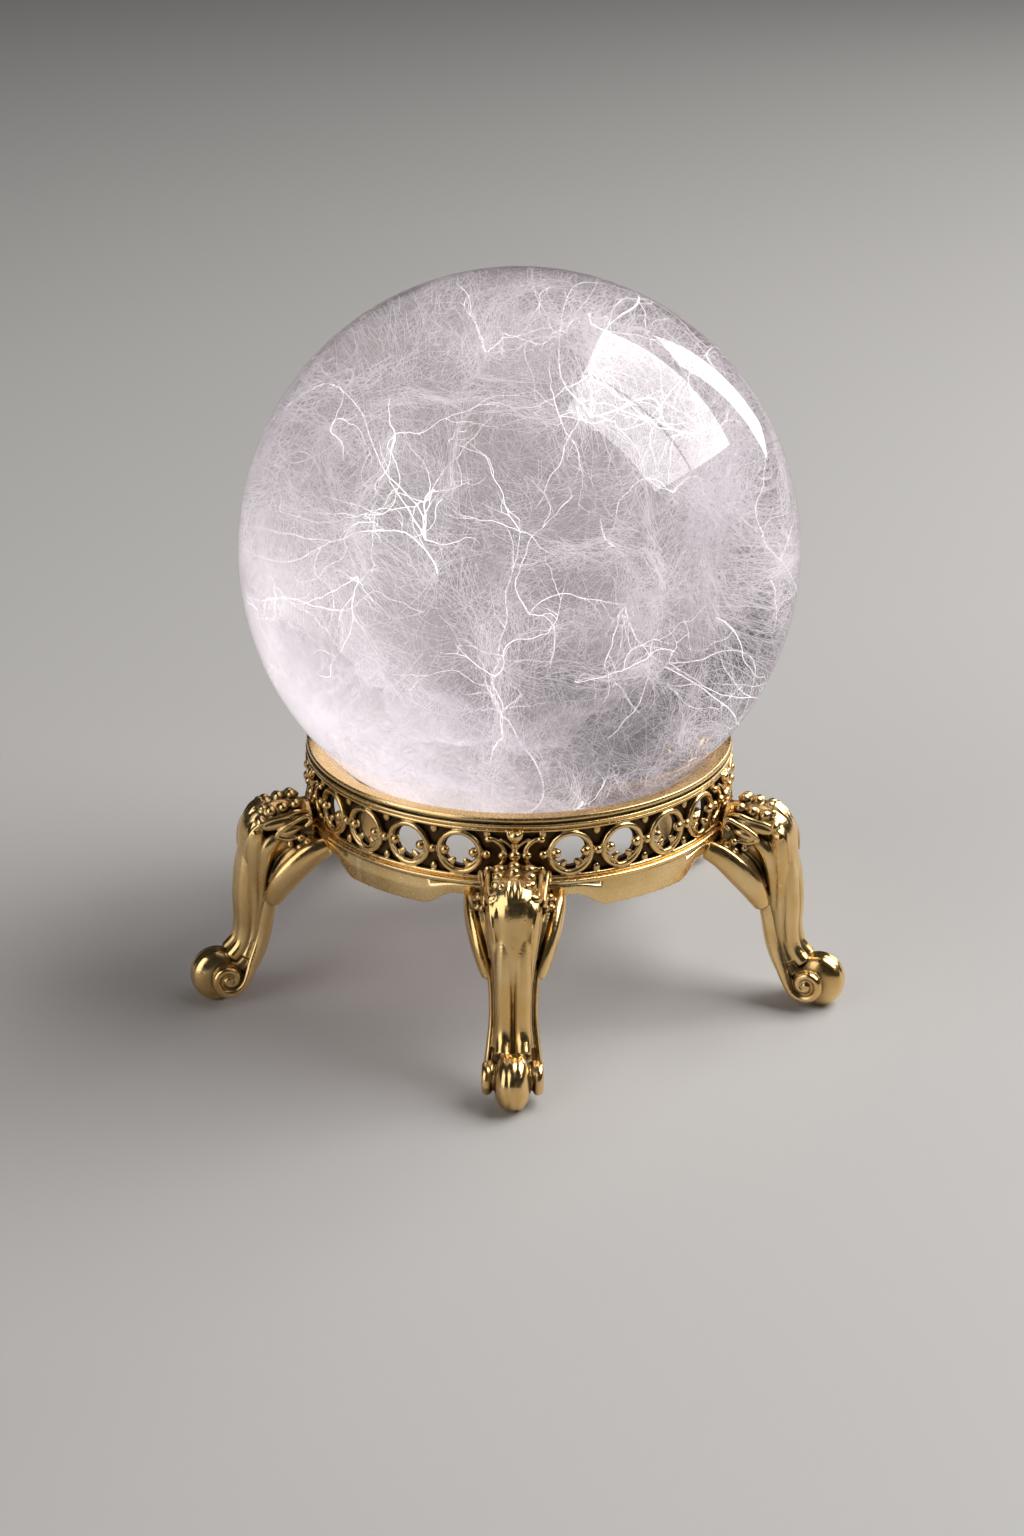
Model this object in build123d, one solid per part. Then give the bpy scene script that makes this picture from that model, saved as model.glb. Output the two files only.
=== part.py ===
from build123d import *
from math import cos, radians, sin, sqrt
import os

# A crystal ball on a five-legged cast brass stand. Millimetres, +Z up.
# The origin is the point on the table straight below the ball's centre, and the front leg points along -Y.

# ---- driving dimensions ----
BALL_RADIUS = 50.0
BALL_CENTRE_Z = 80.6
LEG_COUNT = 5
FRONT_ANGLE = -90.0
LEG_NAMES = ["front", "right", "rear_right", "rear_left", "left"]
PANEL_NAMES = ["front_right", "right_rear", "rear", "left_rear", "front_left"]

RIM_TOP_Z = 45.6
RIM_OUTER_RADIUS = 38.85
RIM_INNER_RADIUS = 36.35
SEAT_RADIUS = 33.6
SEAT_GAP = 0.1

APRON_TOP_Z = 33.8
APRON_BELLY_Z = 28.0
APRON_RADIUS = 39.5
BAND_INNER_RADIUS = 37.0
BAND_THICKNESS = 0.8

KNEE_TOP_Z = 39.3
SHAFT_RADIUS = 54.0
TOE_RADIUS = 62.65
FOOT_HEIGHT = 9.8

# ---- sizes that follow from them ----
PITCH_OF_LEGS = 360.0 / LEG_COUNT
SCROLLS_PER_PANEL = 4
MOTIF_PITCH = PITCH_OF_LEGS / (SCROLLS_PER_PANEL + 1)
CASTING_GAP = 0.02
GALLERY_CLEARANCE = 0.9

RIM_HEIGHT = 2.1
RIM_BOTTOM_Z = RIM_TOP_Z - RIM_HEIGHT
SEAT_Z = BALL_CENTRE_Z - sqrt((BALL_RADIUS + SEAT_GAP) ** 2 - SEAT_RADIUS**2)
SPIGOT_DEPTH = 1.1

BAND_OUTER_RADIUS = BAND_INNER_RADIUS + BAND_THICKNESS
BAND_MIDDLE_Z = (APRON_TOP_Z + RIM_BOTTOM_Z) / 2
BAND_HEIGHT = RIM_BOTTOM_Z - APRON_TOP_Z

WIRE_RADIUS = 0.6
SCROLL_RADIUS = 3.7
RAIL_HEIGHT = 0.9
RAIL_OUTER_RADIUS = BAND_OUTER_RADIUS + 1.3

SCREW_Z = 30.0
SCREW_RADIUS = 1.25
SCREW_LENGTH = 9.0
SCREW_HEAD_RADIUS = 2.3
SCREW_HEAD_HEIGHT = 1.5
SPOT_FACE_DEPTH = 0.3

FLANGE_HALF_WIDTH = 4.2
REED_HALF_WIDTH = 3.1
TOE_WIDTH = 6.4


def leg_angle(index):
    return FRONT_ANGLE + index * PITCH_OF_LEGS


def ring(outer_radius, inner_radius, low_z, high_z):
    """A plain ring about the stand's axis."""
    middle = (low_z + high_z) / 2
    height = high_z - low_z
    outer = Cylinder(outer_radius, height)
    return Pos(0, 0, middle) * (outer - Cylinder(inner_radius, height + 1))


def arc_bar(inner_radius, outer_radius, low_z, high_z, sweep):
    """A ring's piece that spans `sweep` degrees, centred on +X."""
    profile = Plane.XZ * Pos((inner_radius + outer_radius) / 2, (low_z + high_z) / 2)
    section = profile * Rectangle(outer_radius - inner_radius, high_z - low_z)
    return Rot(0, 0, -sweep / 2) * revolve(section, Axis.Z, sweep)


def on_band(angle, half_depth=WIRE_RADIUS, z=BAND_MIDDLE_Z):
    """The place at this angle for a piece resting on the pierced band, half_depth thick behind its middle."""
    return Rot(0, 0, angle) * Pos(BAND_OUTER_RADIUS + CASTING_GAP + half_depth, 0, z)


def bead(radius, angle=0.0, side=0.0):
    """A ball that rests on the band, at this angle and this far to the side."""
    return on_band(angle, radius) * Pos(0, side, 0) * Sphere(radius)


# ---- the ball and its seat ----


def crystal_ball():
    return Pos(0, 0, BALL_CENTRE_Z) * Sphere(BALL_RADIUS)


def seat_rim():
    """The turned rim: flat top, grooved edge, and inside it a bevel down to the ledge for the ball."""
    edge = 0.4
    spigot_radius = BAND_INNER_RADIUS - CASTING_GAP
    spigot_z = RIM_BOTTOM_Z - SPIGOT_DEPTH
    outline = Polyline(
        (RIM_INNER_RADIUS, RIM_TOP_Z),
        (RIM_OUTER_RADIUS - edge, RIM_TOP_Z),
        (RIM_OUTER_RADIUS, RIM_TOP_Z - edge),
        (RIM_OUTER_RADIUS, RIM_TOP_Z - 2 * edge),
        (RIM_OUTER_RADIUS - edge, RIM_TOP_Z - 2.5 * edge),
    )
    edge_bead = ThreePointArc(
        (RIM_OUTER_RADIUS - edge, RIM_TOP_Z - 2.5 * edge),
        (RIM_OUTER_RADIUS + edge / 2, (RIM_TOP_Z - 2.5 * edge + RIM_BOTTOM_Z) / 2),
        (RIM_OUTER_RADIUS - edge, RIM_BOTTOM_Z),
    )
    inside = Polyline(
        (RIM_OUTER_RADIUS - edge, RIM_BOTTOM_Z),
        (spigot_radius, RIM_BOTTOM_Z),
        (spigot_radius, spigot_z),
        (SEAT_RADIUS + edge, spigot_z),
        (SEAT_RADIUS, spigot_z + edge),
        (SEAT_RADIUS, SEAT_Z),
        (RIM_INNER_RADIUS - edge, RIM_TOP_Z - 2 * edge),
        (RIM_INNER_RADIUS, RIM_TOP_Z),
    )
    return revolve(Plane.XZ * make_face([outline, edge_bead, inside]), Axis.Z)


# ---- the gallery between rim and apron ----


def pierced_band():
    """The sleeve that carries the rim, with a round window behind each scroll ring."""
    window_radius = SCROLL_RADIUS - WIRE_RADIUS - 0.2
    band = ring(BAND_OUTER_RADIUS, BAND_INNER_RADIUS, APRON_TOP_Z, RIM_BOTTOM_Z)
    window = on_band(0) * Rot(0, 90, 0) * Cylinder(window_radius, 6)
    for panel in range(LEG_COUNT):
        for scroll in range(1, SCROLLS_PER_PANEL + 1):
            band -= Rot(0, 0, leg_angle(panel) + scroll * MOTIF_PITCH) * window
    return band


def gallery_rails(sweep):
    """The two thin bars above and below the scrolls."""
    lower = arc_bar(
        BAND_OUTER_RADIUS + CASTING_GAP, RAIL_OUTER_RADIUS, APRON_TOP_Z, APRON_TOP_Z + RAIL_HEIGHT, sweep
    )
    return lower + Pos(0, 0, BAND_HEIGHT - RAIL_HEIGHT) * lower


def scroll_ring(angle):
    """One wire ring with a ball at each side of its inside and a leaf in its foot."""
    ball_radius = 0.8
    ball_offset = SCROLL_RADIUS - WIRE_RADIUS - ball_radius / 2
    leaf_radius = 1.3
    made = on_band(angle) * Rot(0, 90, 0) * Torus(SCROLL_RADIUS, WIRE_RADIUS)
    for side in (-1, 1):
        made += bead(ball_radius, angle, side * ball_offset)
    leaf = Pos(0, 0, leaf_radius - SCROLL_RADIUS) * Rot(0, 90, 0) * Cylinder(leaf_radius, WIRE_RADIUS)
    return made + on_band(angle) * leaf


def gallery_panel():
    """The openwork between two legs, centred on +X."""
    joint_ball_radius = 0.9
    panel = gallery_rails(SCROLLS_PER_PANEL * MOTIF_PITCH)
    first = -(SCROLLS_PER_PANEL - 1) / 2
    for scroll in range(SCROLLS_PER_PANEL):
        panel += scroll_ring((first + scroll) * MOTIF_PITCH)
    for gap in range(SCROLLS_PER_PANEL - 1):
        panel += bead(joint_ball_radius, (first + gap + 0.5) * MOTIF_PITCH)
    return panel


def bud_shape(height, radius):
    """A closed bud on local Z, from its pointed base to its rounded top."""
    side = Spline((0.3, 0), (radius, 0.65 * height), (0.5 * radius, height))
    rest = Polyline((0.5 * radius, height), (0, height), (0, 0), (0.3, 0))
    return revolve(Plane.XZ * make_face([side, rest]), Axis.Z)


def bud_cross():
    """The upright above each leg: stem, bud, centre bead, side beads and two open C-scrolls."""
    stem_radius = 0.65
    arm_radius = 0.5
    bead_radius = 1.15
    side_bead_radius = 0.9
    side_bead_offset = 2.0
    arc_radius = 2.9
    arc_centre = bead_radius + arc_radius + 0.7
    bud_height = 3.0
    bud = bud_shape(bud_height - CASTING_GAP, bead_radius)
    arm = Rot(90, 0, 0) * Cylinder(arm_radius, 2 * side_bead_offset)
    pieces = [
        on_band(0, stem_radius) * Cylinder(stem_radius, BAND_HEIGHT - RAIL_HEIGHT),
        on_band(0, bead_radius, RIM_BOTTOM_Z - bud_height) * bud,
        on_band(0, side_bead_radius) * arm,
        bead(bead_radius),
    ]
    for side in (-1, 1):
        pieces.append(bead(side_bead_radius, 0, side * side_bead_offset))
        hoop = Rot(0, 90, 0) * Torus(arc_radius, WIRE_RADIUS)
        open_side = Pos(0, side * arc_radius, 0) * Box(4 * WIRE_RADIUS, 2 * arc_radius, 4 * arc_radius)
        pieces.append(on_band(0) * Pos(0, side * arc_centre, 0) * (hoop - open_side))
    return gallery_rails(MOTIF_PITCH) + pieces


# ---- the apron ----


def apron_notch():
    """What is cut from below beside a leg so that the edge falls in an ogee from the leg to the belly."""
    shallow_z = APRON_TOP_Z - 3.0
    near, far = 7.4, 17.0
    bottom_z = APRON_BELLY_Z - 1
    edge = Polyline((near, bottom_z), (near, shallow_z), (near + 3.4, shallow_z))
    ogee = Spline(
        (near + 3.4, shallow_z),
        ((near + 3.4 + far) / 2, (shallow_z + APRON_BELLY_Z) / 2),
        (far, APRON_BELLY_Z),
        tangents=((1, 0), (1, 0)),
    )
    close = Polyline((far, APRON_BELLY_Z), (far, bottom_z), (near, bottom_z))
    return extrude(Plane.YZ * make_face([edge, ogee, close]), APRON_RADIUS + 5)


def apron_ring():
    """The smooth band that the legs are screwed to, scalloped between them."""
    bulge = 0.25
    outer = ThreePointArc(
        (APRON_RADIUS, APRON_TOP_Z),
        (APRON_RADIUS - bulge / 2, (APRON_TOP_Z + APRON_BELLY_Z) / 2),
        (APRON_RADIUS - 2 * bulge, APRON_BELLY_Z),
    )
    rest = Polyline(
        (APRON_RADIUS - 2 * bulge, APRON_BELLY_Z),
        (BAND_INNER_RADIUS, APRON_BELLY_Z),
        (BAND_INNER_RADIUS, APRON_TOP_Z),
        (APRON_RADIUS, APRON_TOP_Z),
    )
    apron = revolve(Plane.XZ * make_face([outer, rest]), Axis.Z)
    notch = apron_notch()
    screw_hole = Pos(BAND_OUTER_RADIUS, 0, SCREW_Z) * Rot(0, 90, 0) * Cylinder(SCREW_RADIUS + 0.05, 8)
    spot_x = BAND_INNER_RADIUS + SPOT_FACE_DEPTH
    spot = Pos(spot_x - 2, 0, SCREW_Z) * Rot(0, 90, 0) * Cylinder(SCREW_HEAD_RADIUS + 0.2, 4)
    for leg in range(LEG_COUNT):
        turn = Rot(0, 0, leg_angle(leg))
        apron -= turn * notch
        apron -= turn * mirror(notch, Plane.XZ)
        apron -= turn * screw_hole
        apron -= turn * spot
    return apron


# ---- the legs ----


def knee_and_shaft_outline():
    """The leg seen from its side, in local X (outwards) and Z, from its root on the apron to the foot."""
    root_x = APRON_RADIUS - 1.5
    front = Spline(
        (root_x, KNEE_TOP_Z - 1.6),
        (SHAFT_RADIUS - 10.0, KNEE_TOP_Z),
        (SHAFT_RADIUS - 3.4, KNEE_TOP_Z - 2.6),
        (SHAFT_RADIUS - 0.6, KNEE_TOP_Z - 11.0),
        (SHAFT_RADIUS, KNEE_TOP_Z - 22.0),
        (SHAFT_RADIUS + 0.6, FOOT_HEIGHT + 1.2),
        (SHAFT_RADIUS + 3.0, FOOT_HEIGHT - 0.6),
    )
    back = Spline(
        (SHAFT_RADIUS + 3.0, 1.2),
        (SHAFT_RADIUS - 3.4, 3.8),
        (SHAFT_RADIUS - 7.0, 11.7),
        (SHAFT_RADIUS - 8.6, 19.5),
        (root_x, 26.5),
    )
    toe_side = Line((SHAFT_RADIUS + 3.0, FOOT_HEIGHT - 0.6), (SHAFT_RADIUS + 3.0, 1.2))
    root_side = Line((root_x, 26.5), (root_x, KNEE_TOP_Z - 1.6))
    return Plane.XZ * make_face([front, toe_side, back, root_side])


def reed_groove():
    """The furrow down the middle of the leg's front, between its two reeds."""
    depth = 1.0
    path = Spline(
        (SHAFT_RADIUS - 1.6, KNEE_TOP_Z - 6.0),
        (SHAFT_RADIUS - 0.3, KNEE_TOP_Z - 13.0),
        (SHAFT_RADIUS + 0.1, KNEE_TOP_Z - 22.0),
        (SHAFT_RADIUS + 0.3, FOOT_HEIGHT + 2.4),
    )
    start = Plane(origin=path @ 0, z_dir=path % 0)
    return sweep(start * Rectangle(0.6 * depth, 2 * depth, rotation=45), path)


def wing():
    """One curved bracket from the apron down to the small step on the shaft, on the leg's +Y side."""
    stations = [
        ((APRON_RADIUS - 1.2, 8.1, 31.0), 1.25, 2.4),
        ((APRON_RADIUS + 2.8, 7.5, 28.2), 1.25, 2.7),
        ((APRON_RADIUS + 6.0, 6.2, 24.0), 1.25, 2.7),
        ((APRON_RADIUS + 7.6, 4.8, 19.4), 1.1, 1.6),
    ]
    slopes = [(0.85, -0.15, -0.5), (0.75, -0.25, -0.6), (0.5, -0.3, -0.8), (0.1, -0.1, -1.0)]
    sections = []
    for (place, half_width, half_depth), slope in zip(stations, slopes):
        plane = Plane(origin=place, x_dir=(0, 1, 0), z_dir=slope)
        sections.append(plane * Ellipse(half_width, half_depth))
    return loft(sections)


def knee_ornament():
    """The cast leaf and berries on top of the knee."""
    berry_radius = 1.15
    berries = Part()
    for along, drop, across in ((3.6, 0.6, 2.2), (6.0, 1.0, 2.5), (8.4, 2.0, 2.4)):
        for side in (-1, 1):
            berries += Pos(APRON_RADIUS + along, side * across, KNEE_TOP_Z - drop) * Sphere(berry_radius)
    leaf = Pos(APRON_RADIUS + 6.0, 0, KNEE_TOP_Z - 1.1) * Rot(0, 100, 0) * Cylinder(1.5, 8.5)
    leaf = fillet(leaf.edges(), 1.3)
    for side in (-1, 1):
        berries += Pos(APRON_RADIUS + 3.2, side * 4.4, KNEE_TOP_Z - 5.6) * Sphere(1.7)
        berries += Pos(APRON_RADIUS + 2.0, side * 5.4, KNEE_TOP_Z - 7.6) * Sphere(1.3)
    return berries + leaf


def scroll_foot():
    """The round toe with a flat underneath, and the scroll on each side of it."""
    flat_depth = 0.05
    toe_radius = FOOT_HEIGHT / 2 + flat_depth
    toe_centre_x = TOE_RADIUS - toe_radius
    toe = Rot(90, 0, 0) * Cylinder(toe_radius, TOE_WIDTH)
    toe = fillet(toe.edges().filter_by(GeomType.CIRCLE), TOE_WIDTH / 2 - 0.3)
    scroll_radius = 3.0
    scroll_width = 10.8
    scroll = Rot(90, 0, 0) * Cylinder(scroll_radius, scroll_width)
    scroll = fillet(scroll.edges().filter_by(GeomType.CIRCLE), 0.9)
    scroll_setback = 1.3
    scroll_centre_z = 5.6
    foot = Pos(toe_centre_x, 0, FOOT_HEIGHT / 2 - flat_depth) * toe
    return foot + Pos(toe_centre_x - scroll_setback, 0, scroll_centre_z) * scroll


def slab(outline, half_width, edge_radius):
    """The side outline made solid to this half width, with its long front edges rounded."""
    solid = Pos(0, half_width, 0) * extrude(outline, 2 * half_width)
    front_edges = [e for e in solid.edges() if e.length > KNEE_TOP_Z and e.center().X > SHAFT_RADIUS - 6]
    return fillet(front_edges, edge_radius)


def leg():
    """One cast leg along local +X, with the tapped hole for its screw."""
    outline = knee_and_shaft_outline()
    flange_setback = 3.4
    above_foot = Pos(SHAFT_RADIUS, 0, FOOT_HEIGHT / 2 + KNEE_TOP_Z / 2) * Box(40, 20, KNEE_TOP_Z)
    casting = slab(outline, REED_HALF_WIDTH, 1.4) - reed_groove()
    flanges = Pos(-flange_setback, 0, 0) * slab(outline, FLANGE_HALF_WIDTH, 0.5)
    casting += flanges & above_foot
    casting += wing()
    casting += mirror(wing(), Plane.XZ)
    casting += knee_ornament()
    casting += scroll_foot()
    apron_space = Cylinder(APRON_RADIUS + CASTING_GAP, APRON_TOP_Z + 2 * CASTING_GAP)
    gallery_space = Cylinder(APRON_RADIUS + GALLERY_CLEARANCE, BALL_CENTRE_Z / 3)
    tapped_hole = Rot(0, 90, 0) * Cylinder(SCREW_RADIUS + CASTING_GAP, 16)
    table = Box(200, 200, 20)
    casting -= Pos(0, 0, APRON_TOP_Z / 2) * apron_space
    casting -= Pos(0, 0, BALL_CENTRE_Z / 2) * gallery_space
    casting -= Pos(APRON_RADIUS, 0, SCREW_Z) * tapped_hole
    return casting - Pos(0, 0, -10) * table


def leg_screw():
    """A round-headed screw from inside the apron into the leg's root, along local +X."""
    head_x = BAND_INNER_RADIUS + SPOT_FACE_DEPTH
    lying = Rot(0, 90, 0)
    head = Pos(head_x - SCREW_HEAD_HEIGHT / 2, 0, 0) * lying * Cylinder(SCREW_HEAD_RADIUS, SCREW_HEAD_HEIGHT)
    shank = Pos(head_x + SCREW_LENGTH / 2, 0, 0) * lying * Cylinder(SCREW_RADIUS, SCREW_LENGTH)
    slot = Pos(head_x - SCREW_HEAD_HEIGHT, 0, 0) * Box(1.0, 0.7, 3 * SCREW_HEAD_RADIUS)
    return Pos(0, 0, SCREW_Z) * (head + shank - slot)


def around(make, names, first_angle):
    """The same casting at each of the five places, as one named part each."""
    master = make()
    return {name: Rot(0, 0, first_angle + i * PITCH_OF_LEGS) * master for i, name in enumerate(names)}


def all_parts():
    parts = {
        "crystal_ball": crystal_ball(),
        "seat_rim": seat_rim(),
        "pierced_band": pierced_band(),
        "apron_ring": apron_ring(),
    }
    leg_names = ["leg_" + name for name in LEG_NAMES]
    bud_names = ["bud_cross_" + name for name in LEG_NAMES]
    panel_names = ["gallery_" + name for name in PANEL_NAMES]
    parts.update(around(leg, leg_names, FRONT_ANGLE))
    parts.update(around(bud_cross, bud_names, FRONT_ANGLE))
    parts.update(around(gallery_panel, panel_names, FRONT_ANGLE + PITCH_OF_LEGS / 2))
    screw = leg_screw()
    parts["leg_screws"] = Compound([Rot(0, 0, leg_angle(i)) * screw for i in range(LEG_COUNT)])
    return parts


os.makedirs("parts", exist_ok=True)
for node, shape in all_parts().items():
    export_step(shape, "parts/" + node + ".step")
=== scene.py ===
import math
import random

import bmesh
import bpy
from mathutils import Matrix, Vector, noise


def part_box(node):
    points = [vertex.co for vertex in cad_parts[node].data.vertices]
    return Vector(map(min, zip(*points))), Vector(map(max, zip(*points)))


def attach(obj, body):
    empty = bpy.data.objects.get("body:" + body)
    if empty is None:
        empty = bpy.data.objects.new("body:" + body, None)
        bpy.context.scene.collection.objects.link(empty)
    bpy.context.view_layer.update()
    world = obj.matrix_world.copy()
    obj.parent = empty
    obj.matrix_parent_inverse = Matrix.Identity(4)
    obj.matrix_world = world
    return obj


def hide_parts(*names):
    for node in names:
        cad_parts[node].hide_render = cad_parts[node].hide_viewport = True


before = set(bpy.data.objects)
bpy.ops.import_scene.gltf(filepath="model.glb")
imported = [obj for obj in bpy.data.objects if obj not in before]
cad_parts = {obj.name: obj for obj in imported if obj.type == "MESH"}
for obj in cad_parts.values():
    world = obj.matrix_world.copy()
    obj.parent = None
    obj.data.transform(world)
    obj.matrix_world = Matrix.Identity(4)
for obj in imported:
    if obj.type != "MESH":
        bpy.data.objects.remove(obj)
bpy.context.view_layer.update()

# Shapes are worked out in millimetres, in the CAD's frame, and turned into metres when a mesh is made.
MM = 0.001


def span(node):
    """A CAD node's lowest and highest corner in millimetres."""
    low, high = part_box(node)
    return low / MM, high / MM


# ---- sizes taken from the frame ----
BALL_LOW, BALL_HIGH = span("crystal_ball")
BALL_CENTRE = (BALL_LOW + BALL_HIGH) / 2
BALL_RADIUS = (BALL_HIGH.z - BALL_LOW.z) / 2
RIM_LOW, RIM_HIGH = span("seat_rim")
RIM_TOP = RIM_HIGH.z
RIM_RADIUS = RIM_HIGH.x
BAND_LOW, BAND_HIGH = span("pierced_band")
BAND_RADIUS = BAND_HIGH.x
BAND_TOP = BAND_HIGH.z
APRON_LOW, APRON_HIGH = span("apron_ring")
APRON_RADIUS = APRON_HIGH.x
APRON_TOP = APRON_HIGH.z
APRON_BELLY = APRON_LOW.z
LEG_LOW, LEG_HIGH = span("leg_front")
TOE_RADIUS = -LEG_LOW.y
# The ornaments on the knee stand 1 mm above it, and the toe reaches 8.65 mm past the front of the shaft.
KNEE_TOP = LEG_HIGH.z - 1.0
SHAFT_RADIUS = TOE_RADIUS - 8.65
FOOT_HEIGHT = 9.8
# The middle of the gallery's wires, just outside the pierced band.
GALLERY_RADIUS = BAND_RADIUS + 0.65
GALLERY_MIDDLE = (APRON_TOP + BAND_TOP) / 2

LEG_NAMES = ["front", "right", "rear_right", "rear_left", "left"]
PANEL_NAMES = ["front_right", "right_rear", "rear", "left_rear", "front_left"]
LEG_PITCH = 360 / len(LEG_NAMES)
SCROLLS_PER_PANEL = 4
MOTIF_PITCH = LEG_PITCH / (SCROLLS_PER_PANEL + 1)
FRONT = -90


def turned(degrees):
    """A turn about the stand's axis."""
    return Matrix.Rotation(math.radians(degrees), 4, "Z")


# ---- mesh building ----


def new_object(name, bm, material, body):
    """A piece made of this bmesh, which is in millimetres, riding on a CAD body."""
    mesh = bpy.data.meshes.new(name)
    bmesh.ops.scale(bm, vec=(MM, MM, MM), verts=bm.verts)
    bm.to_mesh(mesh)
    bm.free()
    piece = bpy.data.objects.new(name, mesh)
    bpy.context.scene.collection.objects.link(piece)
    mesh.materials.append(material)
    mesh.polygons.foreach_set("use_smooth", [True] * len(mesh.polygons))
    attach(piece, body)
    return piece


def castings(names, node_prefix, piece_prefix, bm, first_angle):
    """Copies of one casting, spaced round the stand, each replacing its CAD node."""
    for i, name in enumerate(names):
        shape = bm.copy()
        bmesh.ops.rotate(shape, matrix=turned(first_angle + i * LEG_PITCH), verts=shape.verts)
        piece = new_object(piece_prefix + name, shape, ANTIQUE, "stand")
        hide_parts(node_prefix + name)
    bm.free()


def smooth_path(points, steps):
    """Points on a Catmull-Rom curve through the given ones; each point may have any number of values."""
    out = []
    last = len(points) - 1
    for i in range(last):
        p0, p1, p2, p3 = (points[max(0, min(last, k))] for k in (i - 1, i, i + 1, i + 2))
        for s in range(steps):
            t = s / steps
            out.append(tuple(catmull(a, b, c, d, t) for a, b, c, d in zip(p0, p1, p2, p3)))
    out.append(tuple(points[-1]))
    return out


def catmull(a, b, c, d, t):
    """The value at t between b and c on the smooth curve through the four."""
    return 0.5 * (2 * b + (c - a) * t + (2 * a - 5 * b + 4 * c - d) * t**2 + (3 * b - a - 3 * c + d) * t**3)


def sweep(bm, points, sides, wide=(0, 1, 0)):
    """A closed tube with pointed ends. Points are x, y, z, half-width along `wide`, and half-depth."""
    wide = Vector(wide).normalized()
    rings = []
    count = len(points)
    for i, p in enumerate(points):
        before = Vector(points[max(i - 1, 0)][:3])
        after = Vector(points[min(i + 1, count - 1)][:3])
        along = (after - before).normalized()
        across = along.cross(wide).normalized()
        side = across.cross(along).normalized()
        ring = []
        for k in range(sides):
            a = 2 * math.pi * k / sides
            offset = side * (math.cos(a) * p[3]) + across * (math.sin(a) * p[4])
            ring.append(bm.verts.new(Vector(p[:3]) + offset))
        rings.append(ring)
    for low, high in zip(rings, rings[1:]):
        for k in range(sides):
            bm.faces.new((low[k], low[(k + 1) % sides], high[(k + 1) % sides], high[k]))
    for ring, p, way in ((rings[0], points[0], -1), (rings[-1], points[-1], 1)):
        near = Vector(points[1 if way < 0 else -2][:3])
        out = (Vector(p[:3]) - near).normalized() * min(p[3], p[4]) * 0.7
        tip = bm.verts.new(Vector(p[:3]) + out)
        for k in range(sides):
            pair = (ring[(k + 1) % sides], ring[k])
            bm.faces.new((tip, *pair) if way < 0 else (tip, *reversed(pair)))


def blob(bm, place, radii, turn=None, detail=3):
    """An ellipsoid with these three radii."""
    shape = Matrix.Translation(Vector(place)) @ (turn or Matrix.Identity(4))
    shape = shape @ Matrix.Diagonal((*radii, 1))
    bmesh.ops.create_icosphere(bm, subdivisions=detail, radius=1, matrix=shape)


def tilt(degrees, axis="Y"):
    """A turn about one of a shape's own axes."""
    return Matrix.Rotation(math.radians(degrees), 4, axis)


def fuse(bm, voxel, smoothing):
    """The overlapping closed shapes in bm as one skin, as a casting has, with softened joins."""
    mesh = bpy.data.meshes.new("rough_casting")
    bm.to_mesh(mesh)
    bm.free()
    rough = bpy.data.objects.new("rough_casting", mesh)
    bpy.context.scene.collection.objects.link(rough)
    skin = rough.modifiers.new("skin", "REMESH")
    skin.mode = "VOXEL"
    skin.voxel_size = voxel
    relax = rough.modifiers.new("relax", "SMOOTH")
    relax.factor = 0.5
    relax.iterations = smoothing
    made = bpy.data.meshes.new_from_object(rough.evaluated_get(bpy.context.evaluated_depsgraph_get()))
    fused = bmesh.new()
    fused.from_mesh(made)
    bpy.data.objects.remove(rough)
    bpy.data.meshes.remove(mesh)
    bpy.data.meshes.remove(made)
    return fused


def lathe(bm, profile, segments, place):
    """A ring: a closed profile of (radius, z) carried round Z, and bent by place(angle, radius, z)."""
    rings = []
    for i in range(segments):
        angle = 2 * math.pi * i / segments
        ring = []
        for radius, z in profile:
            reach, height = place(angle, radius, z)
            ring.append(bm.verts.new((reach * math.cos(angle), reach * math.sin(angle), height)))
        rings.append(ring)
    count = len(profile)
    for i in range(segments):
        near, far = rings[i], rings[(i + 1) % segments]
        for k in range(count):
            bm.faces.new((near[k], near[(k + 1) % count], far[(k + 1) % count], far[k]))
    bmesh.ops.recalc_face_normals(bm, faces=bm.faces)


def rounded(corners, radius):
    """A closed outline with its corners cut back and rounded."""
    steps = 4
    out = []
    count = len(corners)
    for i, corner in enumerate(corners):
        here = Vector(corner)
        back = Vector(corners[i - 1]) - here
        ahead = Vector(corners[(i + 1) % count]) - here
        cut = min(radius, back.length * 0.45, ahead.length * 0.45)
        a = here + back.normalized() * cut
        b = here + ahead.normalized() * cut
        for s in range(steps + 1):
            t = s / steps
            out.append(tuple(a * (1 - t) ** 2 + here * 2 * t * (1 - t) + b * t**2))
    return out


# ---- materials ----

# The window's light gathers on the far side of the ball from the window, low on the left; the veils paint a
# glow there and grow thicker.
GATHER_WAY = Vector((-0.69, -0.2, -0.69)).normalized()
GATHER_MIDDLE = (BALL_CENTRE * MM).dot(GATHER_WAY)
GATHER_START = GATHER_MIDDLE + 0.15 * BALL_RADIUS * MM
GATHER_END = GATHER_MIDDLE + 0.95 * BALL_RADIUS * MM
RUBBED_BRASS = (1.0, 0.86, 0.55, 1)


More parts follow.
